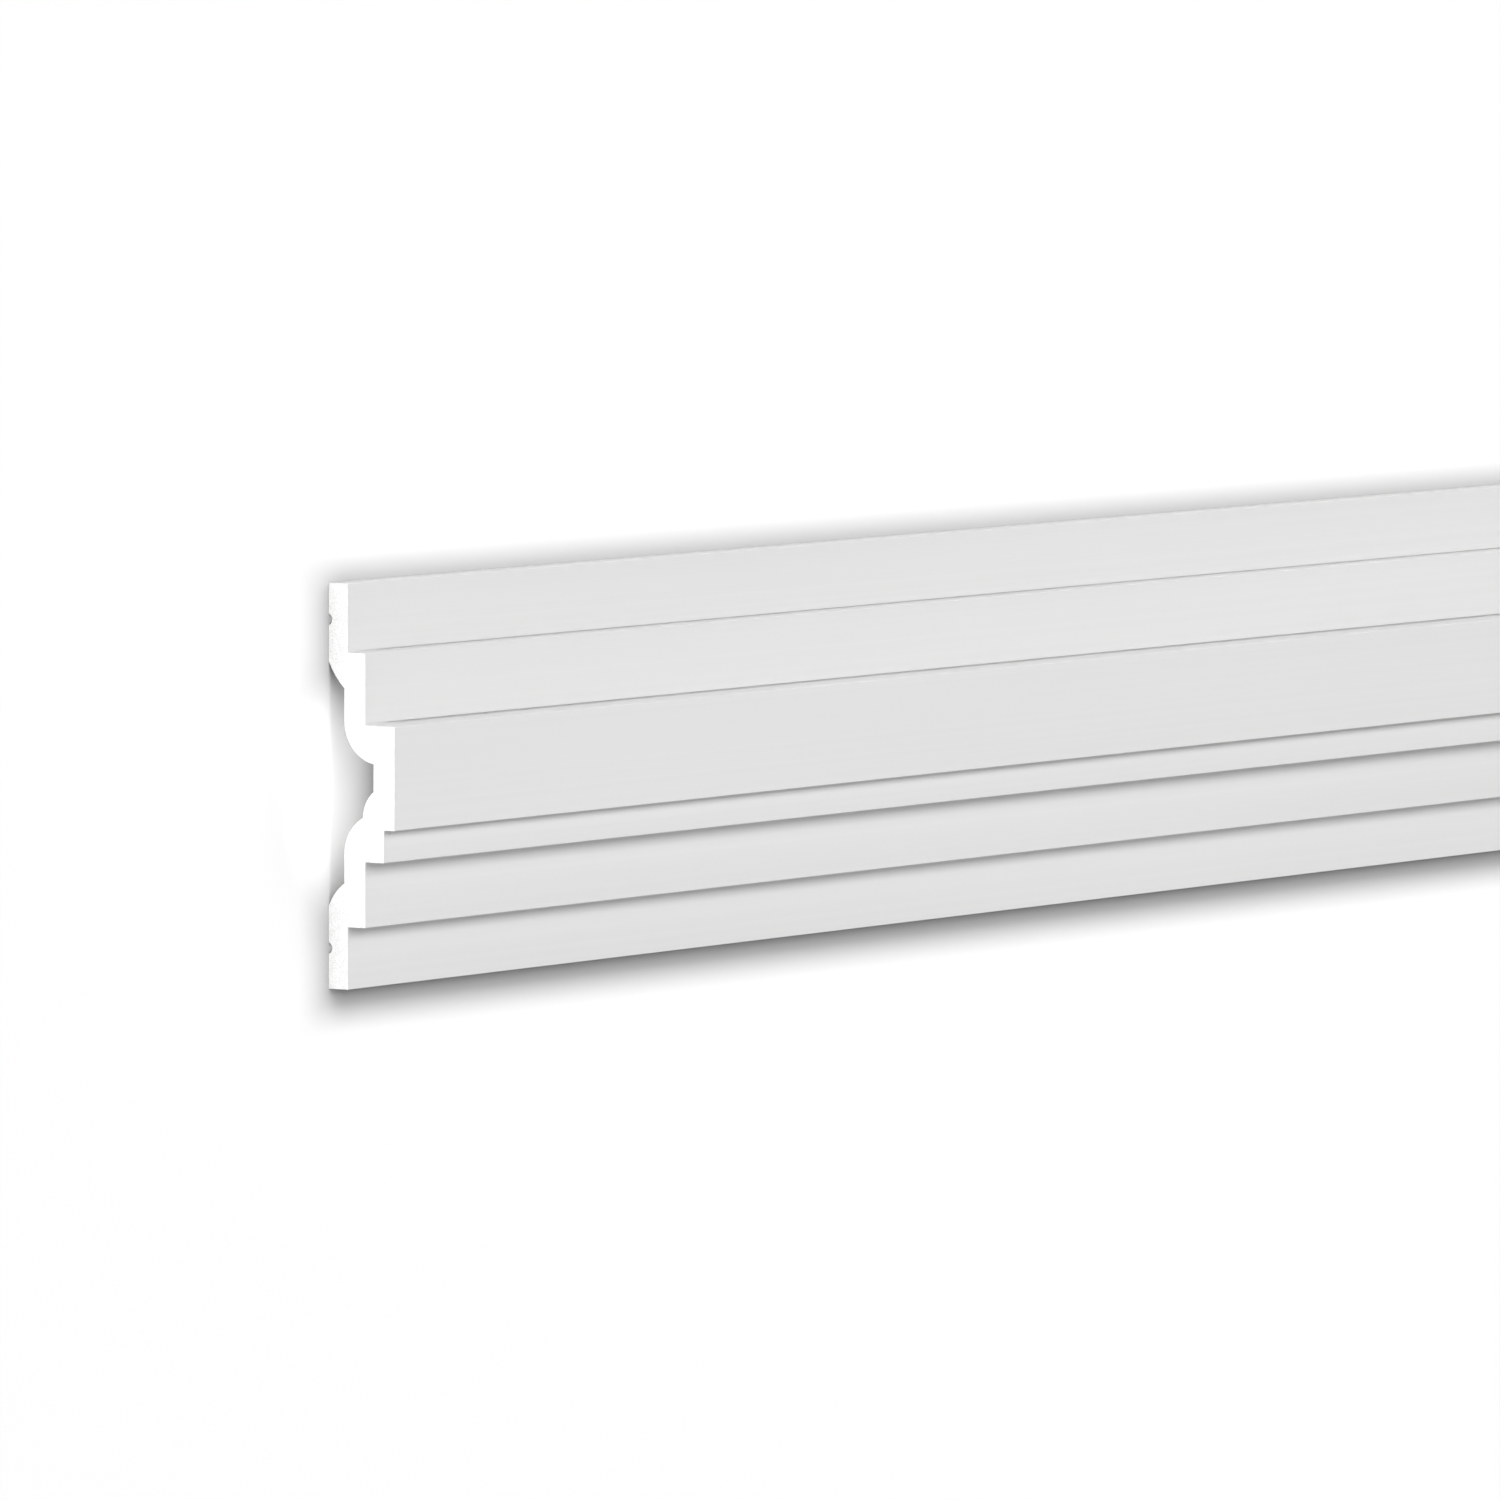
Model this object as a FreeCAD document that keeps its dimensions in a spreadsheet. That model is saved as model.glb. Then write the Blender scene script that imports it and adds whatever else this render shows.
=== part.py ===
import FreeCAD, Part

# A dado rail: one sold length of white foam trim, stepped in front and hollow behind, lying on its back.
# Millimetres. X runs along the rail, Y up the wall that it is fixed to, Z out from that wall.
# The origin is in the plane of the back, half way along the rail and half way up its section.

import math
import os

import Sketcher
from FreeCAD import Vector

NODE = "dado_rail"

# Driving dimensions: name, size, what it is. Front faces are named from the rail's top edge down.
DIMENSIONS = [
    ("rail_length", 2000.0, "one length as sold"),
    ("top_strip_height", 16.95, "plain strip along the top edge"),
    ("upper_step_height", 17.7, "step above the main fascia"),
    ("main_fascia_height", 25.6, "face that stands furthest out"),
    ("small_fillet_height", 8.05, "narrow strip under the main fascia"),
    ("lower_step_height", 16.25, "step below the narrow strip"),
    ("bottom_strip_height", 15.45, "plain strip along the bottom edge"),
    ("edge_projection", 5.8, "top and bottom strips, out from the wall"),
    ("step_projection", 11.1, "upper and lower steps, out from the wall"),
    ("fillet_projection", 16.8, "narrow strip, out from the wall"),
    ("main_projection", 20.0, "main fascia, out from the wall"),
    ("wall_thickness", 6.4, "from each face to the hollow behind it"),
    ("top_ledge_wall", 8.85, "top ledge down to the hollow's upper corner"),
    ("main_ledge_wall", 9.35, "main fascia's lower edge up to the recess floor"),
    ("lower_ledge_wall", 10.75, "lower ledge up to the hollow's lower corner"),
    ("recess_width", 6.8, "flat floor of the deepest recess"),
    ("upper_land_sweep", 6.4, "height taken by the curve at the upper land"),
    ("upper_land_radius", 20.0, "radius of the curve at the upper land"),
    ("upper_shoulder_sweep", 10.5, "height taken by the curve at the upper shoulder"),
    ("inner_step_sweep", 6.5, "height taken by the curve below the recess"),
    ("lower_shoulder_sweep", 9.2, "height taken by the curve at the lower shoulder"),
    ("lower_land_sweep", 5.7, "height taken by the curve at the lower land"),
    ("lower_land_radius", 12.6, "radius of the curve at the lower land"),
    ("upper_groove_inset", 9.0, "upper glue groove's middle in from the top edge"),
    ("lower_groove_inset", 10.0, "lower glue groove's middle in from the bottom edge"),
    ("groove_radius", 1.5, "radius of the round-bottomed glue grooves"),
    ("groove_depth", 1.0, "depth of the glue grooves"),
    ("arris_radius", 0.2, "rounding of the front edges"),
    ("crease_radius", 0.2, "rounding where a ledge meets the next face"),
]
SIZE = {name: value for name, value, note in DIMENSIONS}
FACE_HEIGHTS = [
    "bottom_strip_height", "lower_step_height", "small_fillet_height",
    "main_fascia_height", "upper_step_height", "top_strip_height",
]

# How a drawing numbers the ends of an edge and the centre of an arc, and its own origin and first axis.
START, END, CENTRE = 1, 2, 3
ORIGIN = (-1, 1)
HORIZONTAL_AXIS = -1
# How far apart two places may be and count as one, how much of a groove's volume may be astray, and the
# cubic millimetres in a litre.
SAME_PLACE = 1e-4
VOLUME_SLACK = 1e-3
LITRE = 1e6


def make_sheet(doc):
    """Spreadsheet with one named cell for each driving dimension."""
    sheet = doc.addObject("Spreadsheet::Sheet", "Sizes")
    for row, (name, value, note) in enumerate(DIMENSIONS, start=1):
        sheet.set(f"A{row}", name)
        sheet.set(f"B{row}", str(value))
        sheet.set(f"C{row}", note)
        sheet.setAlias(f"B{row}", name)
    doc.recompute()
    return sheet


def section_sketch(body, name):
    """Empty sketch across the rail: its first axis is Y and its second is Z."""
    sketch = body.newObject("Sketcher::SketchObject", name)
    plane = next(item for item in body.Origin.OriginFeatures if item.Role == "YZ_Plane")
    sketch.AttachmentSupport = [(plane, "")]
    sketch.MapMode = "FlatFace"
    return sketch


def dimension(sketch, axis, name, first, second, formula):
    """Adds a distance along one axis between two points of a sketch and binds it to the sheet."""
    part = 0 if axis == "X" else 1
    span = sketch.getPoint(*second)[part] - sketch.getPoint(*first)[part]
    index = sketch.addConstraint(Sketcher.Constraint("Distance" + axis, *first, *second, span))
    sketch.renameConstraint(index, name)
    sketch.setExpression("Constraints." + name, formula)


def bind_radius(sketch, curve, name, size):
    """Adds a radius to an arc or circle of a sketch and binds it to the sheet."""
    index = sketch.addConstraint(Sketcher.Constraint("Radius", curve, SIZE[size]))
    sketch.renameConstraint(index, name)
    sketch.setExpression("Constraints." + name, "Sizes." + size)


def section_corners():
    """Corners of the section as (height, projection), all measured from its bottom back edge."""
    shoulder = SIZE["step_projection"] - SIZE["wall_thickness"]
    inner_step = SIZE["fillet_projection"] - SIZE["wall_thickness"]
    recess = SIZE["main_projection"] - SIZE["wall_thickness"]
    edge, step = SIZE["edge_projection"], SIZE["step_projection"]
    fillet, main = SIZE["fillet_projection"], SIZE["main_projection"]
    lower_ledge = SIZE["bottom_strip_height"]
    fillet_ledge = lower_ledge + SIZE["lower_step_height"]
    main_ledge = fillet_ledge + SIZE["small_fillet_height"]
    upper_ledge = main_ledge + SIZE["main_fascia_height"]
    top_ledge = upper_ledge + SIZE["upper_step_height"]
    top = top_ledge + SIZE["top_strip_height"]
    hollow_top = top_ledge - SIZE["top_ledge_wall"]
    recess_low = main_ledge + SIZE["main_ledge_wall"]
    recess_high = recess_low + SIZE["recess_width"]
    inner_low = recess_low - SIZE["inner_step_sweep"]
    hollow_low = lower_ledge + SIZE["lower_ledge_wall"]
    return [
        (0.0, 0.0), (0.0, edge), (lower_ledge, edge), (lower_ledge, step),
        (fillet_ledge, step), (fillet_ledge, fillet), (main_ledge, fillet), (main_ledge, main),
        (upper_ledge, main), (upper_ledge, step), (top_ledge, step), (top_ledge, edge),
        (top, edge), (top, 0.0), (hollow_top + SIZE["upper_land_sweep"], 0.0), (hollow_top, shoulder),
        (recess_high + SIZE["upper_shoulder_sweep"], shoulder), (recess_high, recess),
        (recess_low, recess), (inner_low, inner_step),
        (inner_low - SIZE["lower_shoulder_sweep"], shoulder), (hollow_low, shoulder),
        (hollow_low - SIZE["lower_land_sweep"], 0.0),
    ]


# The section's edges in order round it, from its bottom back edge up the front and down the back.
EDGES = [
    "bottom_edge", "bottom_strip", "lower_ledge", "lower_step", "fillet_ledge", "small_fillet",
    "main_ledge", "main_fascia", "upper_ledge", "upper_step", "top_ledge", "top_strip", "top_edge",
    "upper_land", "upper_land_curve", "upper_shoulder", "upper_shoulder_curve", "recess_floor",
    "inner_step_curve", "lower_shoulder_curve", "lower_shoulder", "lower_land_curve", "lower_land",
]
ACROSS = [
    "bottom_edge", "lower_ledge", "fillet_ledge", "main_ledge", "upper_ledge", "top_ledge", "top_edge",
]
ALONG = [
    "bottom_strip", "lower_step", "small_fillet", "main_fascia", "upper_step", "top_strip",
    "upper_land", "upper_shoulder", "recess_floor", "lower_shoulder", "lower_land",
]
# Edges whose first end, going round, is a front edge to round, and whose last end is an inside corner.
ARRIS_AT_HEAD = [
    "bottom_strip", "lower_step", "small_fillet", "main_fascia", "upper_ledge", "top_ledge", "top_edge",
]
CREASE_AT_TAIL = ["bottom_strip", "lower_step", "small_fillet", "upper_ledge", "top_ledge"]
# Each curve of the back swells into the hollow. The three deeper ones lie flat where they meet the face
# nearer the wall, and the two at the lands have radii of their own.
FLAT_AT = {"upper_shoulder_curve": END, "inner_step_curve": START, "lower_shoulder_curve": START}
OWN_RADIUS = {"upper_land_curve": "upper_land_radius", "lower_land_curve": "lower_land_radius"}


def swelling_arc(first, last, radius):
    """Arc of that radius from the last point round to the first, swelling away from its centre."""
    chord = last - first
    rise = math.sqrt(radius**2 - (chord.Length / 2) ** 2)
    across = Vector(chord.y, -chord.x, 0).normalize()
    centre = (first + last) / 2 + across * rise
    angles = [math.atan2(point.y - centre.y, point.x - centre.x) for point in (last, first)]
    return Part.ArcOfCircle(Part.Circle(centre, Vector(0, 0, 1), radius), *angles)


def draw_section(body):
    """The rail's section, every size of it bound to the sheet."""
    sketch = section_sketch(body, "Section")
    corners = section_corners()
    middle = max(height for height, projection in corners) / 2
    points = [Vector(height - middle, projection, 0) for height, projection in corners]
    edge = {name: index for index, name in enumerate(EDGES)}
    for name, first, last in zip(EDGES, points, points[1:] + points[:1]):
        if name in OWN_RADIUS:
            shape = swelling_arc(first, last, SIZE[OWN_RADIUS[name]])
        elif name in FLAT_AT:
            span = last - first
            shape = swelling_arc(first, last, span.Length**2 / (2 * abs(span.y)))
        else:
            shape = Part.LineSegment(first, last)
        sketch.addGeometry(shape)

    # An arc runs the other way round the section than a line does.
    def head(name):
        return (edge[name], END if name.endswith("_curve") else START)

    def tail(name):
        return (edge[name], START if name.endswith("_curve") else END)

    for name, following in zip(EDGES, EDGES[1:] + EDGES[:1]):
        sketch.addConstraint(Sketcher.Constraint("Coincident", *tail(name), *head(following)))
    for name in ACROSS:
        sketch.addConstraint(Sketcher.Constraint("Vertical", edge[name]))
    for name in ALONG:
        sketch.addConstraint(Sketcher.Constraint("Horizontal", edge[name]))
    for name, flat_end in FLAT_AT.items():
        sketch.addConstraint(Sketcher.Constraint("Vertical", edge[name], CENTRE, edge[name], flat_end))
    sketch.addConstraint(Sketcher.Constraint("PointOnObject", *head("bottom_edge"), HORIZONTAL_AXIS))
    sketch.addConstraint(
        Sketcher.Constraint("Symmetric", *head("bottom_edge"), *tail("top_edge"), *ORIGIN)
    )

    heights = [
        ("bottom_strip_height", head("bottom_strip"), tail("bottom_strip")),
        ("lower_step_height", head("lower_step"), tail("lower_step")),
        ("small_fillet_height", head("small_fillet"), tail("small_fillet")),
        ("main_fascia_height", head("main_fascia"), tail("main_fascia")),
        ("upper_step_height", head("upper_ledge"), tail("upper_step")),
        ("top_strip_height", head("top_ledge"), tail("top_strip")),
        ("top_ledge_wall", tail("upper_land_curve"), head("top_ledge")),
        ("upper_land_sweep", tail("upper_land_curve"), head("upper_land_curve")),
        ("upper_shoulder_sweep", tail("upper_shoulder_curve"), head("upper_shoulder_curve")),
        ("recess_width", tail("recess_floor"), head("recess_floor")),
        ("main_ledge_wall", head("main_ledge"), tail("recess_floor")),
        ("inner_step_sweep", tail("inner_step_curve"), head("inner_step_curve")),
        ("lower_shoulder_sweep", tail("lower_shoulder_curve"), head("lower_shoulder_curve")),
        ("lower_ledge_wall", head("lower_ledge"), tail("lower_shoulder")),
        ("lower_land_sweep", tail("lower_land_curve"), head("lower_land_curve")),
    ]
    for name, low, high in heights:
        dimension(sketch, "X", name, low, high, "Sizes." + name)

    projections = [
        ("bottom_projection", tail("bottom_edge"), "Sizes.edge_projection"),
        ("top_projection", head("top_edge"), "Sizes.edge_projection"),
        ("lower_step_projection", head("lower_step"), "Sizes.step_projection"),
        ("upper_step_projection", head("upper_step"), "Sizes.step_projection"),
        ("fillet_projection", head("small_fillet"), "Sizes.fillet_projection"),
        ("main_projection", head("main_fascia"), "Sizes.main_projection"),
        ("upper_shoulder_depth", head("upper_shoulder"), "Sizes.step_projection - Sizes.wall_thickness"),
        ("lower_shoulder_depth", head("lower_shoulder"), "Sizes.step_projection - Sizes.wall_thickness"),
        ("inner_step_depth", tail("inner_step_curve"), "Sizes.fillet_projection - Sizes.wall_thickness"),
        ("recess_depth", head("recess_floor"), "Sizes.main_projection - Sizes.wall_thickness"),
    ]
    for name, point, formula in projections:
        dimension(sketch, "Y", name, ORIGIN, point, formula)
    for name, size in OWN_RADIUS.items():
        bind_radius(sketch, edge[name], size, size)
    return sketch, head, tail


def pad_section(body, sketch):
    """The section drawn out along the whole rail, as much to each side of the origin."""
    pad = body.newObject("PartDesign::Pad", "Rail")
    pad.Profile = sketch
    pad.SideType = "Symmetric"
    pad.setExpression("Length", "Sizes.rail_length")


def cut_glue_grooves(body):
    """Two round-bottomed grooves along the back for the glue, one in each land."""
    sketch = section_sketch(body, "GlueGrooves")
    half_height = sum(SIZE[name] for name in FACE_HEIGHTS) / 2
    half_formula = "(" + " + ".join("Sizes." + name for name in FACE_HEIGHTS) + ") / 2"
    behind = SIZE["groove_radius"] - SIZE["groove_depth"]
    for name, side in (("lower", -1), ("upper", 1)):
        inset = name + "_groove_inset"
        centre = Vector(side * (half_height - SIZE[inset]), -behind, 0)
        circle = sketch.addGeometry(Part.Circle(centre, Vector(0, 0, 1), SIZE["groove_radius"]))
        bind_radius(sketch, circle, name + "_radius", "groove_radius")
        middle = (circle, CENTRE)
        ends = [ORIGIN, middle]
        dimension(sketch, "X", name + "_place", *ends[::side], f"{half_formula} - Sizes.{inset}")
        dimension(sketch, "Y", name + "_behind", middle, ORIGIN, "Sizes.groove_radius - Sizes.groove_depth")
    pocket = body.newObject("PartDesign::Pocket", "GlueGroove")
    pocket.Profile = sketch
    pocket.SideType = "Symmetric"
    pocket.Type = "ThroughAll"


def groove_area():
    """What one glue groove takes out of the section: the part of its circle that lies inside the back."""
    radius = SIZE["groove_radius"]
    behind = radius - SIZE["groove_depth"]
    half_angle = math.acos(behind / radius)
    return radius**2 * half_angle - behind * radius * math.sin(half_angle)


def round_edges(body, name, corners, size):
    """Rounds the long edges that stand at those corners of the section."""
    base = body.Tip
    wanted = []
    for index, edge in enumerate(base.Shape.Edges, start=1):
        ends = [vertex.Point for vertex in edge.Vertexes]
        for height, projection, unused in corners:
            if all(math.hypot(end.y - height, end.z - projection) < SAME_PLACE for end in ends):
                wanted.append(f"Edge{index}")
    if len(wanted) != len(corners):
        raise RuntimeError(f"{name}: found {len(wanted)} of {len(corners)} long edges")
    fillet = body.newObject("PartDesign::Fillet", name)
    fillet.Base = (base, wanted)
    fillet.setExpression("Radius", "Sizes." + size)


def check(doc, shape):
    """Stops the build if any step failed or the rail is not one sound solid."""
    failed = [item.Name for item in doc.Objects if {"Invalid", "Error"} & set(item.State)]
    if failed:
        raise RuntimeError(f"failed objects: {failed}")
    if shape.isNull() or not shape.isValid() or len(shape.Solids) != 1:
        raise RuntimeError("the rail is not one valid solid")


def main():
    doc = FreeCAD.newDocument("DadoRail")
    make_sheet(doc)
    body = doc.addObject("PartDesign::Body", "DadoRail")
    body.Label = NODE
    section, head, tail = draw_section(body)
    pad_section(body, section)
    doc.recompute()
    if not section.FullyConstrained:
        raise RuntimeError("the section is not fully constrained")
    plain_volume = body.Shape.Volume
    arrises = [section.getPoint(*head(name)) for name in ARRIS_AT_HEAD]
    creases = [section.getPoint(*tail(name)) for name in CREASE_AT_TAIL]

    cut_glue_grooves(body)
    doc.recompute()
    groove_volume = 2 * groove_area() * SIZE["rail_length"]
    if abs(plain_volume - body.Shape.Volume - groove_volume) > groove_volume * VOLUME_SLACK:
        raise RuntimeError("the glue grooves did not cut the back")

    round_edges(body, "Arrises", arrises, "arris_radius")
    doc.recompute()
    round_edges(body, "Creases", creases, "crease_radius")
    doc.recompute()

    check(doc, body.Shape)
    os.makedirs("parts", exist_ok=True)
    body.Shape.exportStep(f"parts/{body.Label}.step")
    box = body.Shape.BoundBox
    print(f"{body.Label}: {box.XLength:.1f} x {box.YLength:.1f} x {box.ZLength:.1f} mm, "
          f"{body.Shape.Volume / LITRE:.4f} litres")


main()
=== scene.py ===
"""Looks of a dado rail: one sold length of white primed foam trim, lying on its back on a pale floor.

Metres throughout. X runs along the rail, Y up the wall that it is fixed to and Z out from that wall.
"""

import math

import bpy
from bpy.props import FloatProperty, FloatVectorProperty, IntProperty, PointerProperty
from mathutils import Matrix, Vector


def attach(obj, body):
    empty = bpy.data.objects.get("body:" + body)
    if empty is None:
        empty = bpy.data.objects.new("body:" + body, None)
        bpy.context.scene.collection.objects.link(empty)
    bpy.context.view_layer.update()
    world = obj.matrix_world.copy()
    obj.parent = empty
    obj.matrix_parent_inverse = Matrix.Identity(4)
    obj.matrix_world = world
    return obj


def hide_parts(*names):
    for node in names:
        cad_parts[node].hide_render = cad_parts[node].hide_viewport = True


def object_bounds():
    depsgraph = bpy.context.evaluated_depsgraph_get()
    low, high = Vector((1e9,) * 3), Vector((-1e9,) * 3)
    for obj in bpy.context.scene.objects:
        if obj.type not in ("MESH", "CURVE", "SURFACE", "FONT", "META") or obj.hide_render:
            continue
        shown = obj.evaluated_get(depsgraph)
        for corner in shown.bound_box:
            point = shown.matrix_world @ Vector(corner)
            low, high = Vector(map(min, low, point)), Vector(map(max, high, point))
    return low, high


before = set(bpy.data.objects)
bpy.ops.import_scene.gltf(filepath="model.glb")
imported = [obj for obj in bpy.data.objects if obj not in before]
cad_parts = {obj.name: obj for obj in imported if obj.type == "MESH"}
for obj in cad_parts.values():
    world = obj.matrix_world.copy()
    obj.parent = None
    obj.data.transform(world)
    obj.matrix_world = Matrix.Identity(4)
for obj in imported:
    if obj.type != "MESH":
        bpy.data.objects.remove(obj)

bl_info = {
    "name": "Dado Rail",
    "version": (1, 0, 0),
    "blender": (4, 5, 0),
    "location": "3D View > Sidebar > Dado Rail",
    "description": "Stepped dado rail in white primed foam, with its finishes and a plain stage",
    "category": "Object",
}

PIECE = "Dado_Rail"
NODE = "dado_rail"
BODY = "root"
CAD_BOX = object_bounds()
CAD_SIZE = CAD_BOX[1] - CAD_BOX[0]
MILLIMETRE = 0.001
SENSOR_WIDTH = 36.0

# Which of the rail's finishes a face has, as its place in the mesh's list of materials.
SKIN, BACK, SAWN = 0, 1, 2


def length(name, millimetres, description):
    """A length property, given in millimetres and kept in metres."""
    return FloatProperty(
        name=name, description=description, default=millimetres * MILLIMETRE,
        min=0.0, precision=5, subtype="DISTANCE", unit="LENGTH",
    )


def angle(name, degrees, description):
    """An angle property, given in degrees and kept in radians."""
    return FloatProperty(
        name=name, description=description, default=math.radians(degrees),
        precision=4, subtype="ANGLE", unit="ROTATION",
    )


def share(name, default, description):
    """A plain number between nothing and one."""
    return FloatProperty(
        name=name, description=description, default=default, min=0.0, max=1.0, subtype="FACTOR",
    )


def colour(name, default, description):
    """A colour property in linear light."""
    return FloatVectorProperty(
        name=name, description=description, default=default, size=3, min=0.0, max=1.0, subtype="COLOR",
    )


def strength(name, default, description):
    """Brightness of a soft light, or what a small one adds to the floor, where 1 shows as white."""
    return FloatProperty(name=name, description=description, default=default, min=0.0)


class RailSizes(bpy.types.PropertyGroup):
    """Section and length of the rail. Front faces are named from the top edge down."""

    rail_length: FloatProperty(
        name="Rail length", description="One length as sold", default=CAD_SIZE.x,
        min=0.0, subtype="DISTANCE", unit="LENGTH",
    )
    top_strip: length("Top strip", 16.95, "Height of the plain strip along the top edge")
    upper_step: length("Upper step", 17.7, "Height of the step above the main fascia")
    main_fascia: length("Main fascia", 25.6, "Height of the face that stands furthest out")
    small_fillet: length("Small fillet", 8.05, "Height of the narrow strip under the main fascia")
    lower_step: length("Lower step", 16.25, "Height of the step below the narrow strip")
    bottom_strip: length("Bottom strip", 15.45, "Height of the plain strip along the bottom edge")
    edge_out: length("Edges out", 5.8, "How far the top and bottom strips stand out from the wall")
    step_out: length("Steps out", 11.1, "How far the upper and lower steps stand out")
    fillet_out: length("Fillet out", 16.8, "How far the narrow strip stands out")
    main_out: FloatProperty(
        name="Fascia out", description="How far the main fascia stands out", default=CAD_SIZE.z,
        min=0.0, subtype="DISTANCE", unit="LENGTH",
    )
    wall: length("Wall", 6.4, "Thickness from each face to the hollow behind it")
    top_ledge_wall: length("Top ledge wall", 8.85, "Top ledge down to the hollow's upper corner")
    main_ledge_wall: length("Main ledge wall", 9.35, "Main fascia's lower edge up to the recess floor")
    lower_ledge_wall: length("Lower ledge wall", 10.75, "Lower ledge up to the hollow's lower corner")
    recess_width: length("Recess width", 6.8, "Flat floor of the deepest recess")
    upper_land_sweep: length("Upper land sweep", 6.4, "Height taken by the curve at the upper land")
    upper_land_radius: length("Upper land radius", 20.0, "Radius of the curve at the upper land")
    upper_shoulder_sweep: length("Upper shoulder sweep", 10.5, "Height of the upper shoulder's curve")
    inner_step_sweep: length("Inner step sweep", 6.5, "Height taken by the curve below the recess")
    lower_shoulder_sweep: length("Lower shoulder sweep", 9.2, "Height of the lower shoulder's curve")
    lower_land_sweep: length("Lower land sweep", 5.7, "Height taken by the curve at the lower land")
    lower_land_radius: length("Lower land radius", 12.6, "Radius of the curve at the lower land")
    upper_groove_inset: length("Upper groove inset", 9.0, "Upper groove's middle in from the top edge")
    lower_groove_inset: length("Lower groove inset", 10.0, "Lower groove's middle in from the bottom edge")
    groove_radius: length("Groove radius", 1.5, "Radius of the round-bottomed glue grooves")
    groove_depth: length("Groove depth", 1.0, "Depth of the glue grooves")
    arris_radius: length("Arris radius", 0.2, "Rounding of the front edges")
    crease_radius: length("Crease radius", 0.2, "Rounding where a ledge meets the next face")
    top_quirk: length("Top quirk", 0.27, "Height of the fine sunk line above the upper step")
    main_quirk: length("Main quirk", 0.44, "Height of the fine sunk line above the main fascia")
    quirk_runout: length("Quirk run-out", 16.0, "Where the fine lines die out at each end")
    stations: IntProperty(
        name="Stations", description="Cross sections along the rail", default=41, min=2, max=400,
    )


class RailFinish(bpy.types.PropertyGroup):
    """Finishes of the rail: the primed front, the raw moulded back and the sawn ends."""

    skin_light: colour("Primer, light", (0.727, 0.727, 0.724), "Primed front where the coat is fuller")
    skin_dark: colour("Primer, dark", (0.707, 0.707, 0.703), "Primed front where the coat is thinner")
    back_light: colour("Back, light", (0.8, 0.79, 0.765), "Raw moulded back")
    back_dark: colour("Back, dark", (0.72, 0.708, 0.68), "Flow streaks on the raw back")
    sawn_light: colour("Sawn end, light", (0.95, 0.95, 0.945), "Cut foam between the cells")
    # The sawn end's dark colour is painted shade: it darkens the hollows of the cut cells, where shade
    # would fall.
    sawn_hollow_shade: colour("Sawn end, dark", (0.84, 0.84, 0.83), "Hollows of the cut cells")
    skin_roughness: share("Primer roughness", 0.56, "Roughness of the primed front")
    back_roughness: share("Back roughness", 0.62, "Roughness of the raw back")
    sawn_roughness: share("Sawn roughness", 0.85, "Roughness of the sawn ends")
    peel_size: length("Peel size", 1.3, "Spacing of the fine ripple in the primer")
    peel_depth: length("Peel depth", 0.012, "Depth of the fine ripple in the primer")
    streak_depth: length("Streak depth", 0.01, "Depth of the drawn lines along the rail")
    cell_size: length("Cell size", 0.55, "Size of the foam's cut cells")
    cell_depth: length("Cell depth", 0.09, "Depth of the foam's cut cells")


class StageSettings(bpy.types.PropertyGroup):
    """Floor, shade card, soft lights and camera."""

    floor_side: length("Floor side", 120000.0, "Side of the square floor")
    floor_colour: colour("Floor colour", (0.26, 0.26, 0.26), "Plain floor, which its lights make white")
    key: strength("Key", 3.16, "Soft key over the rail's front")
    spread: strength("Spread", 1.0, "Broad light around the key")
    fill: strength("Fill", 0.78, "Weak fill from below the rail")
    ledge_light: strength("Ledge light", 3.1, "Low light on the upper ledges, from beyond the top edge")
    end_light: strength("End light", 37.0, "Low light on the rail's sawn ends")
    floor_key: strength("Floor key", 5.9, "Soft light on the floor from beyond the top edge")
    floor_fill: strength("Floor fill", 1.48, "Soft light on the floor from below the bottom edge")
    floor_top: strength("Floor top light", 47.9, "Soft light on the floor from above the shade card")
    mouth_light: strength("Mouth light", 0.69, "What a small light adds in the hollow's mouth")
    groove_light: strength("Groove light", 0.35, "What two smaller ones add in the glue grooves' mouths")
    light_distance: length("Light distance", 12000.0, "How far off the long soft lights hang")
    light_length: length("Light length", 30000.0, "How long the soft lights are")
    floor_shift: length("Floor shift", 2500.0, "How far along the rail the floor's lights stand")
    mouth_inside: length("Mouth inside", 2.6, "Middle of the mouth light's patch, inside the sawn end")
    mouth_drop: length("Mouth drop", 1.2, "Middle of that patch, below the section's middle")
    mouth_width: length("Mouth width", 33.5, "Half of that patch, up and down the section")
    mouth_depth: length("Mouth depth", 20.7, "Half of that patch, along the rail")
    groove_inside: length("Groove inside", 1.0, "Middle of the grooves' patches, inside the sawn end")
    groove_patch: length("Groove patch", 1.4, "Half of those round patches")
    card_height: length("Card height", 34.0, "Height of the card that shades the floor along the rail")
    card_above: length("Card above", 2.7, "How far the shade card reaches beyond the rail's top edge")
    card_below: length("Card below", 7.5, "How far the shade card reaches beyond the rail's bottom edge")
    card_ends: length("Card ends", 0.5, "How far the shade card reaches beyond the sawn ends")
    blur_along: length("Blur along", 9.0, "Half of the card's soft shadow edge at the sawn ends")
    blur_across: length("Blur across", 3.6, "Half of the card's soft shadow edge along the rail")
    lens: FloatProperty(
        name="Lens", description="Focal length of the camera", default=360.0,
        min=1.0, subtype="DISTANCE_CAMERA",
    )
    camera_place: FloatVectorProperty(
        name="Camera place", description="Where the camera stands", size=3,
        default=(-3.94919, 0.28105, 2.19465), subtype="TRANSLATION", unit="LENGTH",
    )
    look_down: angle("Look down", 35.0428, "How steeply the camera looks down on the rail's front")
    look_across: angle("Look across", 4.23305, "How far the camera looks down from the top edge's side")
    roll: angle("Roll", 0.126, "Turn of the camera about its own line of sight")


# The section is drawn as runs. A run is smooth, and neighbouring runs meet at a sharp corner.
ARC_STEP = math.radians(7.5)
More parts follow.
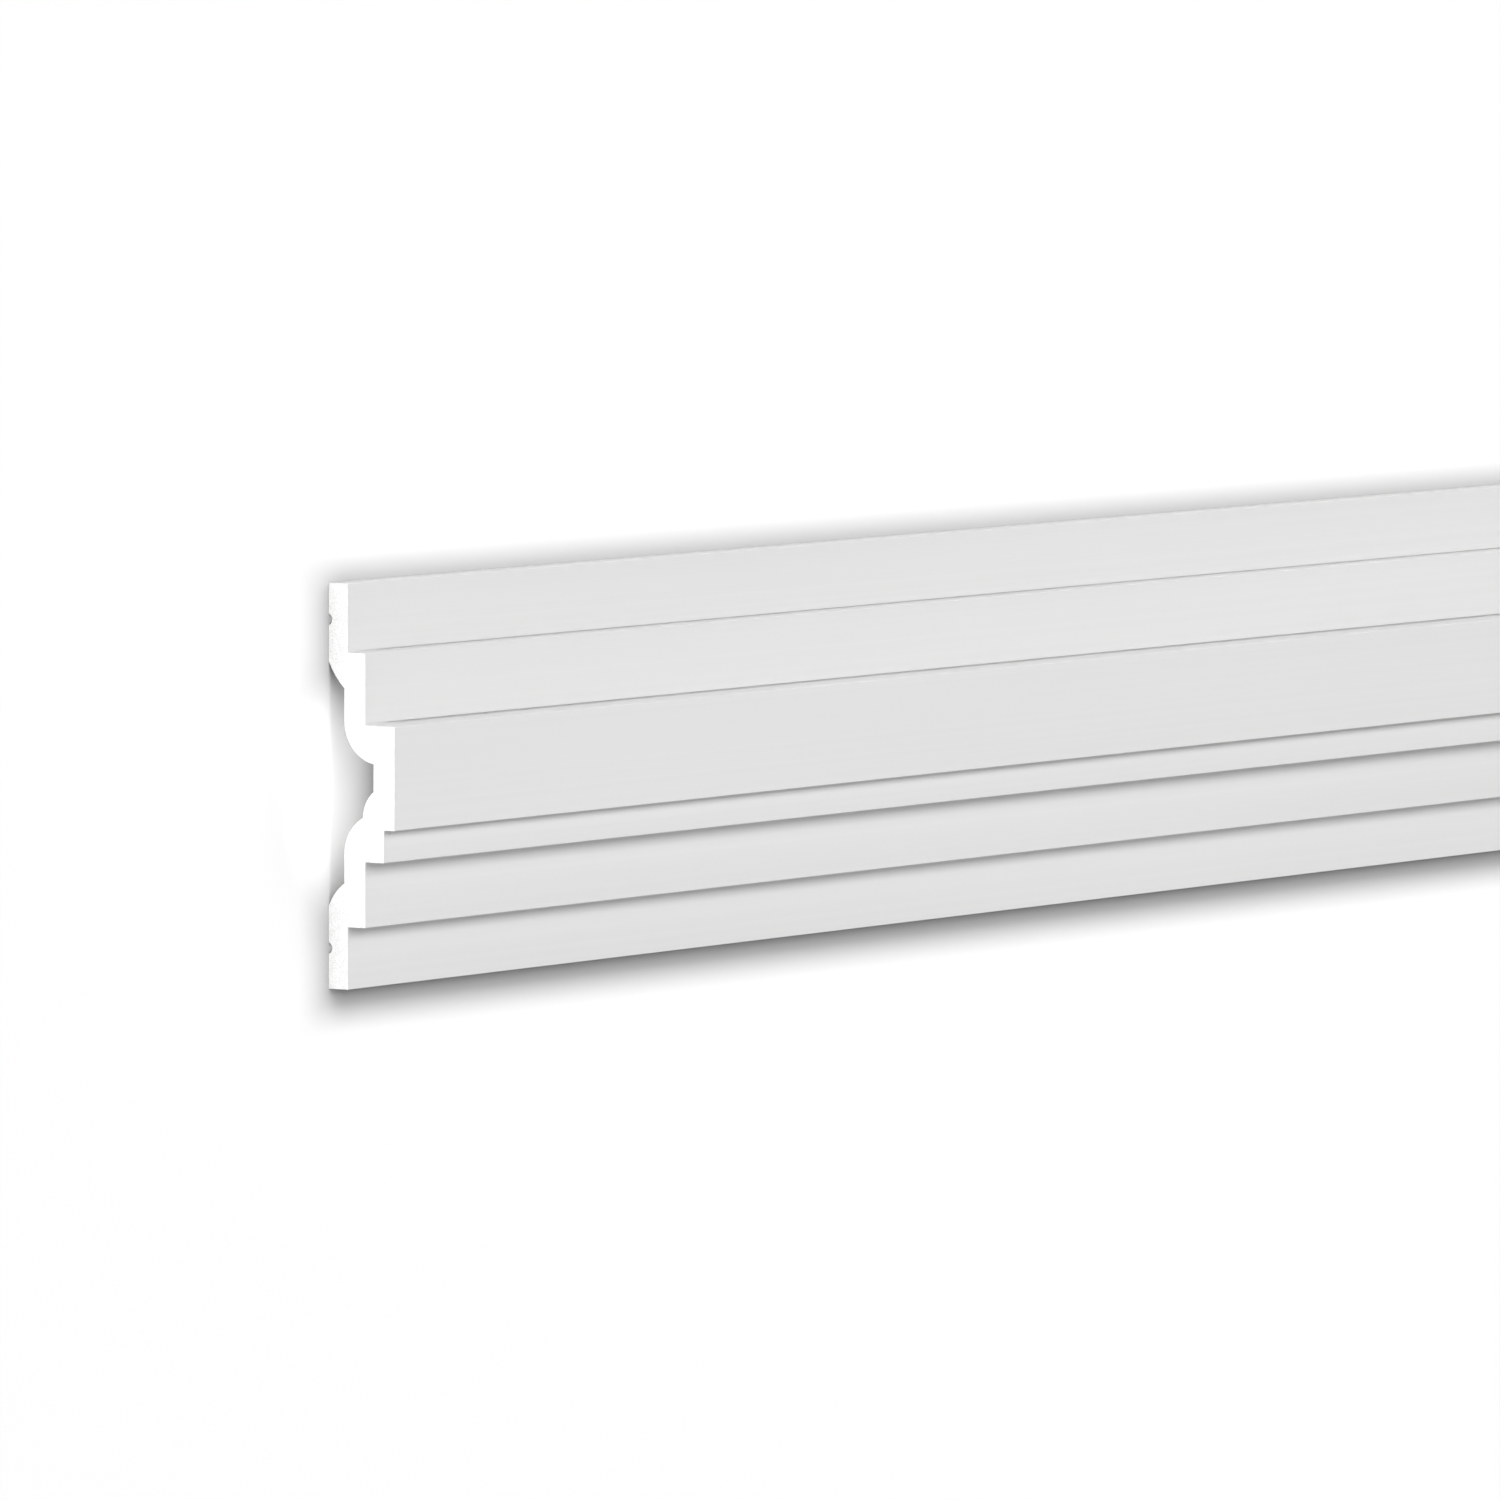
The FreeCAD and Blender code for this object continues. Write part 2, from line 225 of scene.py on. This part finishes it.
# A fine sunk line's depth, its depth at the sawn ends and its corners' rounding, in its own heights.
QUIRK_DEPTH = 1.7
QUIRK_END_DEPTH = 0.06
QUIRK_ROUNDING = 0.2


def arc(centre, radius, first, last):
    """Points of an arc between two angles, each with the direction away from the centre."""
    count = max(2, math.ceil(abs(last - first) / ARC_STEP))
    points = []
    for step in range(count + 1):
        turn = first + (last - first) * step / count
        away = Vector((math.cos(turn), math.sin(turn)))
        points.append((centre + away * radius, away))
    return points


def rounded_corner(before, corner, after, radius):
    """Arc that rounds a corner between two straight lines, with its normals out of the solid."""
    into = (before - corner).normalized()
    on = (after - corner).normalized()
    half = into.angle(on) / 2
    centre = corner + (into + on).normalized() * radius / math.sin(half)
    starts = corner + into * radius / math.tan(half) - centre
    ends = corner + on * radius / math.tan(half) - centre
    first = math.atan2(starts.y, starts.x)
    turn = math.remainder(math.atan2(ends.y, ends.x) - first, 2 * math.pi)
    # Going up the front, an outer edge turns to the right and an inside corner to the left.
    side = 1 if turn < 0 else -1
    return [(point, away * side) for point, away in arc(centre, radius, first, first + turn)]


def swelling_run(first, last, radius):
    """Curve of the back that swells out of the solid into the hollow."""
    chord = last - first
    rise = math.sqrt(radius**2 - (chord.length / 2) ** 2)
    centre = (first + last) / 2 + Vector((chord.y, -chord.x)).normalized() * rise
    start = math.atan2(first.y - centre.y, first.x - centre.x)
    turn = math.remainder(math.atan2(last.y - centre.y, last.x - centre.x) - start, 2 * math.pi)
    return arc(centre, radius, start, start + turn)


def flat_run(first, last):
    """Straight line of the back, with its normal out of the solid."""
    along = (last - first).normalized()
    out = Vector((-along.y, along.x))
    return [(first, out), (last, out)]


def groove_run(middle, sizes):
    """Round bottom of a glue groove in a back land, from its upper lip to its lower one."""
    behind = sizes.groove_radius - sizes.groove_depth
    half = math.acos(behind / sizes.groove_radius)
    centre = Vector((middle, -behind))
    points = arc(centre, sizes.groove_radius, math.pi / 2 - half, math.pi / 2 + half)
    return [(point, -away) for point, away in points]


def front_run(sizes, levels, quirk_depth):
    """The whole front, from the bottom back edge up to the top back edge, with every edge rounded."""
    edge, step, fillet, main = sizes.edge_out, sizes.step_out, sizes.fillet_out, sizes.main_out
    arris, crease = sizes.arris_radius, sizes.crease_radius
    lip = QUIRK_ROUNDING * min(1.0, quirk_depth)

    def quirk(level, face, tall):
        """Corners of a fine line sunk into the foot of a face, just above its ledge."""
        floor = face - tall * quirk_depth
        return [
            (level, floor, tall * lip),
            (level + tall, floor, tall * lip),
            (level + tall, face, tall * lip),
        ]

    corners = [
        (levels["bottom"], 0.0, 0.0),
        (levels["bottom"], edge, arris),
        (levels["lower_ledge"], edge, crease),
        (levels["lower_ledge"], step, arris),
        (levels["fillet_ledge"], step, crease),
        (levels["fillet_ledge"], fillet, arris),
        (levels["main_ledge"], fillet, crease),
        (levels["main_ledge"], main, arris),
        (levels["upper_ledge"], main, arris),
        *quirk(levels["upper_ledge"], step, sizes.main_quirk),
        (levels["top_ledge"], step, arris),
        *quirk(levels["top_ledge"], edge, sizes.top_quirk),
        (levels["top"], edge, arris),
        (levels["top"], 0.0, 0.0),
    ]
    places = [Vector(corner[:2]) for corner in corners]
    radii = [corner[2] for corner in corners]
    run = [(places[0], Vector((-1.0, 0.0)))]
    for index in range(1, len(corners) - 1):
        run += rounded_corner(*places[index - 1:index + 2], radii[index])
    run.append((places[-1], Vector((1.0, 0.0))))
    return run


def section_levels(sizes):
    """Heights of the front's ledges, measured from the middle of the section."""
    names = ["bottom", "lower_ledge", "fillet_ledge", "main_ledge", "upper_ledge", "top_ledge", "top"]
    faces = [
        sizes.bottom_strip, sizes.lower_step, sizes.small_fillet,
        sizes.main_fascia, sizes.upper_step, sizes.top_strip,
    ]
    heights = [-sum(faces) / 2]
    for face in faces:
        heights.append(heights[-1] + face)
    return dict(zip(names, heights))


def back_runs(sizes, levels):
    """The back from the top edge down: two glue lands with their grooves, and the hollow between them."""
    shoulder = sizes.step_out - sizes.wall
    inner_step = sizes.fillet_out - sizes.wall
    recess = sizes.main_out - sizes.wall
    hollow_top = levels["top_ledge"] - sizes.top_ledge_wall
    recess_low = levels["main_ledge"] + sizes.main_ledge_wall
    recess_high = recess_low + sizes.recess_width
    inner_low = recess_low - sizes.inner_step_sweep
    hollow_low = levels["lower_ledge"] + sizes.lower_ledge_wall
    lip = math.sqrt(sizes.groove_radius**2 - (sizes.groove_radius - sizes.groove_depth) ** 2)
    upper_groove = levels["top"] - sizes.upper_groove_inset
    lower_groove = levels["bottom"] + sizes.lower_groove_inset

    def place(across, out):
        return Vector((across, out))

    def flat_radius(first, last):
        """Radius of a curve that lies flat where it meets the face nearer the wall."""
        return (last - first).length_squared / (2 * abs(last.y - first.y))

    land_top = place(hollow_top + sizes.upper_land_sweep, 0.0)
    shoulder_top = place(hollow_top, shoulder)
    shoulder_low = place(recess_high + sizes.upper_shoulder_sweep, shoulder)
    recess_top = place(recess_high, recess)
    recess_bottom = place(recess_low, recess)
    inner = place(inner_low, inner_step)
    lower_top = place(inner_low - sizes.lower_shoulder_sweep, shoulder)
    lower_low = place(hollow_low, shoulder)
    land_low = place(hollow_low - sizes.lower_land_sweep, 0.0)
    return [
        flat_run(place(levels["top"], 0.0), place(upper_groove + lip, 0.0)),
        groove_run(upper_groove, sizes),
        flat_run(place(upper_groove - lip, 0.0), land_top),
        swelling_run(land_top, shoulder_top, sizes.upper_land_radius),
        flat_run(shoulder_top, shoulder_low),
        swelling_run(shoulder_low, recess_top, flat_radius(shoulder_low, recess_top)),
        flat_run(recess_top, recess_bottom),
        swelling_run(recess_bottom, inner, flat_radius(recess_bottom, inner)),
        swelling_run(inner, lower_top, flat_radius(inner, lower_top)),
        flat_run(lower_top, lower_low),
        swelling_run(lower_low, land_low, sizes.lower_land_radius),
        flat_run(land_low, place(lower_groove + lip, 0.0)),
        groove_run(lower_groove, sizes),
        flat_run(place(lower_groove - lip, 0.0), place(levels["bottom"], 0.0)),
    ]


def rail_mesh(sizes):
    """The section drawn out along the rail, with true normals on every rounding."""
    levels = section_levels(sizes)
    back = back_runs(sizes, levels)

    def outline(quirk_depth):
        front = front_run(sizes, levels, quirk_depth)
        return [place for run in (front, *back) for place, normal in run[:-1]]

    strips = []
    for run in (front_run(sizes, levels, QUIRK_DEPTH), *back):
        finish = BACK if strips else SKIN
        turns = [normal for place, normal in run]
        strips += [(normal, next_normal, finish) for normal, next_normal in zip(turns, turns[1:])]
    around = len(strips)
    half = sizes.rail_length / 2
    inner_half = half - sizes.quirk_runout
    spacing = 2 * inner_half / (sizes.stations - 1)
    sections = [(-half, outline(QUIRK_END_DEPTH))]
    for station in range(sizes.stations):
        sections.append((spacing * station - inner_half, outline(QUIRK_DEPTH)))
    sections.append((half, outline(QUIRK_END_DEPTH)))
    points = []
    for along, places in sections:
        points += [(along, place.x, place.y) for place in places]

    faces = []
    finishes = []
    normals = []
    for section in range(len(sections) - 1):
        near = section * around
        far = near + around
        for index, (normal, next_normal, finish) in enumerate(strips):
            following = (index + 1) % around
            faces.append((near + index, far + index, far + following, near + following))
            finishes.append(finish)
            first = (0.0, normal.x, normal.y)
            last = (0.0, next_normal.x, next_normal.y)
            normals += [first, first, last, last]
    ends = (
        (range(around), (-1.0, 0.0, 0.0)),
        (reversed(range(len(points) - around, len(points))), (1.0, 0.0, 0.0)),
    )
    for loop, normal in ends:
        faces.append(tuple(loop))
        finishes.append(SAWN)
        normals += [normal] * around

    mesh = bpy.data.meshes.new(PIECE)
    mesh.from_pydata(points, [], faces)
    mesh.polygons.foreach_set("material_index", finishes)
    mesh.polygons.foreach_set("use_smooth", [True] * len(faces))
    mesh.update()
    mesh.normals_split_custom_set(normals)
    if mesh.validate(verbose=True):
        raise RuntimeError("the rail's mesh had to be corrected")
    return mesh


# How often each pattern repeats in a metre: along the rail, up the section and out from the wall.
CLOUDS = (3.0, 22.0, 22.0)
DRAWN_LINES = (1.2, 800.0, 800.0)
FLOW_STREAKS = (4.0, 160.0, 160.0)
PINHOLES = (260.0, 260.0, 260.0)
SAW_MARKS = (700.0, 60.0, 1500.0)
# Which span of a pattern's values shows: a narrow one for its colours and a wide one for its gloss.
COLOUR_SPAN = (0.35, 0.65)
GLOSS_SPAN = (0.3, 0.7)
# Where the slope of a pinhole and of a cut cell starts and ends, out from its middle, in spacings.
PINHOLE_SLOPE = (0.06, 0.16)
CELL_SLOPE = (0.1, 0.6)
# How far a moulded skin's roughness changes to each side.
ROUGHNESS_CHANGE = 0.06
# Depths of the back's streaks and of the saw's marks, in depths of the drawn lines.
FLOW_STREAK_DEPTH = 3.0
SAW_MARK_DEPTH = 2.0
# Specular level of the moulded skins and of the sawn ends.
SKIN_SPECULAR = 0.3
SAWN_SPECULAR = 0.2


def new_finish(name):
    """Empty material with its shader, and the rail's own coordinates in metres."""
    material = bpy.data.materials.new(name)
    material.use_nodes = True
    tree = material.node_tree
    shader = tree.nodes["Principled BSDF"]
    own = tree.nodes.new("ShaderNodeTexCoord").outputs["Object"]
    return material, tree, shader, own


def stretched(tree, own, scale):
    """The rail's own coordinates, scaled along each axis."""
    mapping = tree.nodes.new("ShaderNodeMapping")
    mapping.inputs["Scale"].default_value = scale
    tree.links.new(own, mapping.inputs["Vector"])
    return mapping.outputs["Vector"]


def noise(tree, place, detail=2.0):
    """Even noise around one half at these coordinates."""
    node = tree.nodes.new("ShaderNodeTexNoise")
    node.inputs["Scale"].default_value = 1.0
    node.inputs["Detail"].default_value = detail
    tree.links.new(place, node.inputs["Vector"])
    return node.outputs["Fac"]


def cell_distance(tree, place):
    """Distance to the middle of the nearest of many small cells at these coordinates."""
    node = tree.nodes.new("ShaderNodeTexVoronoi")
    node.inputs["Scale"].default_value = 1.0
    tree.links.new(place, node.inputs["Vector"])
    return node.outputs["Distance"]


def ranged(tree, value, span, new_low=0.0, new_high=1.0):
    """A value moved from one span to another and held inside it."""
    node = tree.nodes.new("ShaderNodeMapRange")
    low, high = span
    node.inputs["From Min"].default_value = low
    node.inputs["From Max"].default_value = high
    node.inputs["To Min"].default_value = new_low
    node.inputs["To Max"].default_value = new_high
    tree.links.new(value, node.inputs["Value"])
    return node.outputs["Result"]


def uneven_roughness(tree, pattern, middle, change):
    """Roughness that goes up and down with a pattern, or against it where the change is negative."""
    return ranged(tree, pattern, GLOSS_SPAN, middle - change, middle + change)


def mean(tree, first, second):
    """Half way between two values."""
    node = tree.nodes.new("ShaderNodeMix")
    node.inputs["Factor"].default_value = 0.5
    tree.links.new(first, node.inputs["A"])
    tree.links.new(second, node.inputs["B"])
    return node.outputs["Result"]


def tinted(tree, factor, dark, light):
    """Colour between a dark and a light one."""
    node = tree.nodes.new("ShaderNodeMix")
    node.data_type = "RGBA"
    dark_socket, light_socket = [socket for socket in node.inputs if socket.type == "RGBA"]
    dark_socket.default_value = (*dark, 1.0)
    light_socket.default_value = (*light, 1.0)
    tree.links.new(factor, node.inputs["Factor"])
    return next(socket for socket in node.outputs if socket.type == "RGBA")


def bumped(tree, height, depth, below=None):
    """Normal of a relief of that depth in metres, on top of another relief."""
    node = tree.nodes.new("ShaderNodeBump")
    node.inputs["Strength"].default_value = 1.0
    node.inputs["Distance"].default_value = depth
    tree.links.new(height, node.inputs["Height"])
    if below is not None:
        tree.links.new(below, node.inputs["Normal"])
    return node.outputs["Normal"]


def primed_skin(finish):
    """White primer: faint clouds and drawn lines along the rail, and a fine ripple."""
    material, tree, shader, own = new_finish("Primed_White")
    clouds = noise(tree, stretched(tree, own, CLOUDS), detail=3.0)
    lines = noise(tree, stretched(tree, own, DRAWN_LINES))
    coat = ranged(tree, mean(tree, clouds, lines), COLOUR_SPAN)
    tree.links.new(tinted(tree, coat, finish.skin_dark, finish.skin_light), shader.inputs["Base Color"])
    rough = uneven_roughness(tree, clouds, finish.skin_roughness, ROUGHNESS_CHANGE)
    tree.links.new(rough, shader.inputs["Roughness"])
    peel_scale = 1 / finish.peel_size
    peel = noise(tree, stretched(tree, own, (peel_scale,) * 3))
    relief = bumped(tree, lines, finish.streak_depth)
    relief = bumped(tree, peel, finish.peel_depth, relief)
    tree.links.new(relief, shader.inputs["Normal"])
    shader.inputs["Specular IOR Level"].default_value = SKIN_SPECULAR
    return material


def raw_back(finish):
    """Unprimed back: a warmer foam skin with flow streaks and a few pinholes."""
    material, tree, shader, own = new_finish("Raw_Foam_Back")
    streaks = noise(tree, stretched(tree, own, FLOW_STREAKS), detail=3.0)
    flow = ranged(tree, streaks, COLOUR_SPAN)
    tree.links.new(tinted(tree, flow, finish.back_dark, finish.back_light), shader.inputs["Base Color"])
    rough = uneven_roughness(tree, streaks, finish.back_roughness, -ROUGHNESS_CHANGE)
    tree.links.new(rough, shader.inputs["Roughness"])
    holes = ranged(tree, cell_distance(tree, stretched(tree, own, PINHOLES)), PINHOLE_SLOPE)
    relief = bumped(tree, streaks, finish.streak_depth * FLOW_STREAK_DEPTH)
    relief = bumped(tree, holes, finish.cell_depth, relief)
    tree.links.new(relief, shader.inputs["Normal"])
    shader.inputs["Specular IOR Level"].default_value = SKIN_SPECULAR
    return material


def sawn_foam(finish):
    """Sawn end: cut cells of the foam with painted shade in their hollows, and the saw's faint marks across
    them.
    """
    material, tree, shader, own = new_finish("Sawn_Foam")
    cell_scale = 1 / finish.cell_size
    cells = cell_distance(tree, stretched(tree, own, (cell_scale,) * 3))
    walls_and_hollow_shade = ranged(tree, cells, CELL_SLOPE)
    # The cell pattern paints shade into the cells' hollows through the dark colour, and it also gives the
    # cells their real relief below.
    tree.links.new(tinted(tree, walls_and_hollow_shade, finish.sawn_hollow_shade, finish.sawn_light), shader.inputs["Base Color"])
    marks = noise(tree, stretched(tree, own, SAW_MARKS), detail=1.0)
    relief = bumped(tree, marks, finish.streak_depth * SAW_MARK_DEPTH)
    relief = bumped(tree, walls_and_hollow_shade, finish.cell_depth, relief)
    tree.links.new(relief, shader.inputs["Normal"])
    shader.inputs["Roughness"].default_value = finish.sawn_roughness
    shader.inputs["Specular IOR Level"].default_value = SAWN_SPECULAR
    return material


# First and last lean of each long light, in degrees from straight above towards the rail's top edge.
LEANS = {
    "Rail_Key": (14.0, 36.0),
    "Rail_Spread": (9.0, 46.0),
    "Rail_Fill": (-58.0, -2.0),
    "Rail_Ledges": (82.0, 89.0),
    "Floor_Key": (7.0, 57.0),
    "Floor_Fill": (-52.0, -6.0),
}
# Where the strips of light beyond the sawn ends lie, in degrees above the floor and to each side.
END_STRIP_LOW, END_STRIP_HIGH, END_STRIP_HALF = 1.0, 4.0, 20.0
# How steeply the mouth lights shine down on the floor, in degrees.
MOUTH_SLOPE = 30.0
# A mouth light's own size, and how far off it stands, in halves of its beam's width.
MOUTH_SOFTNESS = 0.33
MOUTH_REACH = 60.0
# A light that faces nearly along the rail is turned by the section's height instead.
NEARLY_ALONG = 0.9


def named_group(name, pieces):
    """Collection of these pieces."""
    group = bpy.data.collections.new(name)
    for piece in pieces:
        group.objects.link(piece)
    return group


def keep_to(light, piece, shades):
    """Lets a light fall on one piece alone, with only these pieces to shade it."""
    light.light_linking.receiver_collection = named_group(light.name + "_on", [piece])
    light.light_linking.blocker_collection = named_group(light.name + "_shaded_by", shades)


def soft_light(name, place, target, sides, radiance):
    """Rectangular soft light that faces a target, unseen itself."""
    data = bpy.data.lights.new(name, "AREA")
    data.shape = "RECTANGLE"
    data.size, data.size_y = sides
    data.energy = radiance * math.pi * sides[0] * sides[1]
    light = bpy.data.objects.new(name, data)
    bpy.context.scene.collection.objects.link(light)
    away = (place - target).normalized()
    across = Vector((1.0, 0.0, 0.0))
    if abs(away.x) > NEARLY_ALONG:
        across = Vector((0.0, 1.0, 0.0))
    upright = away.cross(across).normalized()
    across = upright.cross(away)
    turn = Matrix((across, upright, away)).transposed().to_4x4()
    light.matrix_world = Matrix.Translation(place) @ turn
    light.visible_camera = False
    return light


def long_light(name, stage, radiance, shift=0.0):
    """Long soft light over the rail, between its two leans."""
    low, high = LEANS[name]
    middle = math.radians((low + high) / 2)
    half = math.radians((high - low) / 2)
    target = Vector((shift, 0.0, 0.0))
    place = target + Vector((0.0, math.sin(middle), math.cos(middle))) * stage.light_distance
    width = 2 * stage.light_distance * math.tan(half)
    return soft_light(name, place, target, (stage.light_length, width), radiance)


def end_strip(name, stage, end):
    """Low strip of light beyond a sawn end."""
    lift = math.radians((END_STRIP_LOW + END_STRIP_HIGH) / 2)
    out = math.copysign(math.cos(lift), end.x)
    place = end + Vector((out, 0.0, math.sin(lift))) * stage.light_distance
    tall = 2 * stage.light_distance * math.tan(math.radians((END_STRIP_HIGH - END_STRIP_LOW) / 2))
    wide = 2 * stage.light_distance * math.tan(math.radians(END_STRIP_HALF))
    return soft_light(name, place, end, (wide, tall), stage.end_light)


def top_light(name, stage):
    """Light straight above, as large as the soft edge of the shade card's shadow needs."""
    reach = 2 * stage.light_distance / stage.card_height
    sides = (stage.blur_along * reach, stage.blur_across * reach)
    place = Vector((0.0, 0.0, stage.light_distance))
    return soft_light(name, place, Vector(), sides, stage.floor_top)


def mouth_spot(name, stage, middle, width, depth, adds):
    """Narrow soft beam from beyond the sawn end, onto an oval of the floor with these half sizes."""
    lift = math.radians(MOUTH_SLOPE)
    away = Vector((-math.cos(lift), 0.0, math.sin(lift)))
    beam = depth * math.sin(lift)
    distance = beam * MOUTH_REACH
    data = bpy.data.lights.new(name, "SPOT")
    data.spot_size = 2 * math.atan(1 / MOUTH_REACH)
    data.spot_blend = 1.0
    data.shadow_soft_size = beam * MOUTH_SOFTNESS
    pale = sum(stage.floor_colour) / len(stage.floor_colour)
    # A spot's power counts as spread over a whole sphere, and a matt floor gives back its paleness over pi.
    data.energy = adds / pale * 4 * math.pi**2 * distance**2 / math.sin(lift)
    light = bpy.data.objects.new(name, data)
    bpy.context.scene.collection.objects.link(light)
    turn = away.to_track_quat("Z", "Y").to_matrix().to_4x4()
    oval = Matrix.Diagonal((width / beam, 1.0, 1.0, 1.0))
    light.matrix_world = Matrix.Translation(middle + away * distance) @ turn @ oval
    light.visible_camera = False
    return light


class DADORAIL_OT_rail(bpy.types.Operator):
    """Make the rail with its finishes, in place of the plain solid"""

    bl_idname = "dado_rail.rail"
    bl_label = "Dado Rail"

    def execute(self, context):
        finish = context.scene.dado_rail_finish
        mesh = rail_mesh(context.scene.dado_rail_sizes)
        mesh.materials.append(primed_skin(finish))
        mesh.materials.append(raw_back(finish))
        mesh.materials.append(sawn_foam(finish))
        rail = bpy.data.objects.new(PIECE, mesh)
        context.scene.collection.objects.link(rail)
        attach(rail, BODY)
        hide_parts(NODE)
        return {"FINISHED"}


class DADORAIL_OT_stage(bpy.types.Operator):
    """Lay the pale floor, hang the soft lights and set up the camera"""

    bl_idname = "dado_rail.stage"
    bl_label = "Floor, Lights and Camera"

    def execute(self, context):
        stage = context.scene.dado_rail_stage
        rail = bpy.data.objects[PIECE]
        floor = self.lay_floor(context, stage)
        card = self.hang_card(context, stage)
        self.hang_lights(stage, context.scene.dado_rail_sizes, rail, floor, card)
        self.set_camera(context, stage)
        self.set_surround(context)
        return {"FINISHED"}

    def level_sheet(self, context, name, low, high, height):
        """Level rectangle between two corners, which isn't part of the rail."""
        mesh = bpy.data.meshes.new(name)
        corners = [(low.x, low.y), (high.x, low.y), (high.x, high.y), (low.x, high.y)]
        mesh.from_pydata([(*corner, height) for corner in corners], [], [(0, 1, 2, 3)])
        sheet = bpy.data.objects.new(name, mesh)
        context.scene.collection.objects.link(sheet)
        return sheet

    def lay_floor(self, context, stage):
        """Plain pale floor under the rail."""
        half = Vector((stage.floor_side, stage.floor_side)) / 2
        floor = self.level_sheet(context, "Floor", -half, half, 0.0)
        material = bpy.data.materials.new("Pale_Floor")
        material.use_nodes = True
        shader = material.node_tree.nodes["Principled BSDF"]
        shader.inputs["Base Color"].default_value = (*stage.floor_colour, 1.0)
        shader.inputs["Roughness"].default_value = 1.0
        shader.inputs["Specular IOR Level"].default_value = 0.0
        floor.data.materials.append(material)
        return floor

    def hang_card(self, context, stage):
        """Unseen card over the rail, for the soft shadow all round it."""
        low, high = CAD_BOX
        low = Vector((low.x - stage.card_ends, low.y - stage.card_below))
        high = Vector((high.x + stage.card_ends, high.y + stage.card_above))
        card = self.level_sheet(context, "Shade_Card", low, high, stage.card_height)
        card.visible_camera = False
        card.visible_diffuse = False
        card.visible_glossy = False
        card.visible_transmission = False
        return card

    def mouth_lights(self, stage, sizes):
        """Small lights that show the floor inside the hollow and the two glue grooves at the sawn end."""
        low, high = CAD_BOX
        hollow = Vector((low.x + stage.mouth_inside, -stage.mouth_drop, 0.0))
        width, depth = stage.mouth_width, stage.mouth_depth
        lights = [mouth_spot("Floor_Mouth", stage, hollow, width, depth, stage.mouth_light)]
        grooves = {
            "Floor_Upper_Groove": high.y - sizes.upper_groove_inset,
            "Floor_Lower_Groove": low.y + sizes.lower_groove_inset,
        }
        patch = stage.groove_patch
        for name, across in grooves.items():
            groove = Vector((low.x + stage.groove_inside, across, 0.0))
            lights.append(mouth_spot(name, stage, groove, patch, patch, stage.groove_light))
        return lights

    def hang_lights(self, stage, sizes, rail, floor, card):
        """Soft lights, some for the rail alone and some for the floor alone."""
        on_rail = [
            long_light("Rail_Key", stage, stage.key),
            long_light("Rail_Spread", stage, stage.spread),
            long_light("Rail_Fill", stage, stage.fill),
            long_light("Rail_Ledges", stage, stage.ledge_light),
        ]
        for side, corner in zip(("Left", "Right"), CAD_BOX):
            on_rail.append(end_strip(f"Rail_{side}_End", stage, Vector((corner.x, 0.0, 0.0))))
        on_floor = [
            long_light("Floor_Key", stage, stage.floor_key, stage.floor_shift),
            long_light("Floor_Fill", stage, stage.floor_fill, stage.floor_shift),
            *self.mouth_lights(stage, sizes),
        ]
        for light in on_rail:
            keep_to(light, rail, [rail])
        for light in on_floor:
            keep_to(light, floor, [rail])
        keep_to(top_light("Floor_Top", stage), floor, [rail, card])

    def set_camera(self, context, stage):
        """Camera beyond the left end, which looks down along the rail."""
        down, across, roll = stage.look_down, stage.look_across, stage.roll
        level = math.cos(across)
        forward = Vector((level * math.cos(down), -math.sin(across), -level * math.sin(down)))
        right = forward.cross(Vector((0.0, 1.0, 0.0))).normalized()
        up = right.cross(forward)
        turned_right = right * math.cos(roll) + up * math.sin(roll)
        turned_up = up * math.cos(roll) - right * math.sin(roll)
        data = bpy.data.cameras.new("Camera")
        data.lens = stage.lens
        data.sensor_width = SENSOR_WIDTH
        camera = bpy.data.objects.new("Camera", data)
        context.scene.collection.objects.link(camera)
        turn = Matrix((turned_right, turned_up, -forward)).transposed().to_4x4()
        camera.matrix_world = Matrix.Translation(Vector(stage.camera_place)) @ turn
        context.scene.camera = camera

    def set_surround(self, context):
        """White surround, which only the camera sees."""
        world = bpy.data.worlds.new("Pale_Surround")
        context.scene.world = world
        world.use_nodes = True
        background = world.node_tree.nodes["Background"]
        background.inputs["Color"].default_value = (1.0, 1.0, 1.0, 1.0)
        world.cycles_visibility.diffuse = False
        world.cycles_visibility.glossy = False
        context.scene.view_settings.view_transform = "Standard"


class DADORAIL_PT_panel(bpy.types.Panel):
    """Lists the rail's sizes, finishes and stage"""

    bl_idname = "DADORAIL_PT_panel"
    bl_label = "Dado Rail"
    bl_space_type = "VIEW_3D"
    bl_region_type = "UI"
    bl_category = "Dado Rail"

    def draw(self, context):
        layout = self.layout
        groups = (
            ("Sizes", context.scene.dado_rail_sizes, DADORAIL_OT_rail),
            ("Finish", context.scene.dado_rail_finish, None),
            ("Stage", context.scene.dado_rail_stage, DADORAIL_OT_stage),
        )
        for title, group, operator in groups:
            box = layout.box()
            box.label(text=title)
            for name in group.__annotations__:
                box.prop(group, name)
            if operator is not None:
                box.operator(operator.bl_idname)


CLASSES = (RailSizes, RailFinish, StageSettings, DADORAIL_OT_rail, DADORAIL_OT_stage, DADORAIL_PT_panel)


def register():
    for item in CLASSES:
        bpy.utils.register_class(item)
    bpy.types.Scene.dado_rail_sizes = PointerProperty(type=RailSizes)
    bpy.types.Scene.dado_rail_finish = PointerProperty(type=RailFinish)
    bpy.types.Scene.dado_rail_stage = PointerProperty(type=StageSettings)


def unregister():
    del bpy.types.Scene.dado_rail_stage
    del bpy.types.Scene.dado_rail_finish
    del bpy.types.Scene.dado_rail_sizes
    for item in reversed(CLASSES):
        bpy.utils.unregister_class(item)


def main():
    register()
    bpy.ops.dado_rail.rail()
    bpy.ops.dado_rail.stage()
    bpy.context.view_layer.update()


if __name__ == "__main__":
    main()
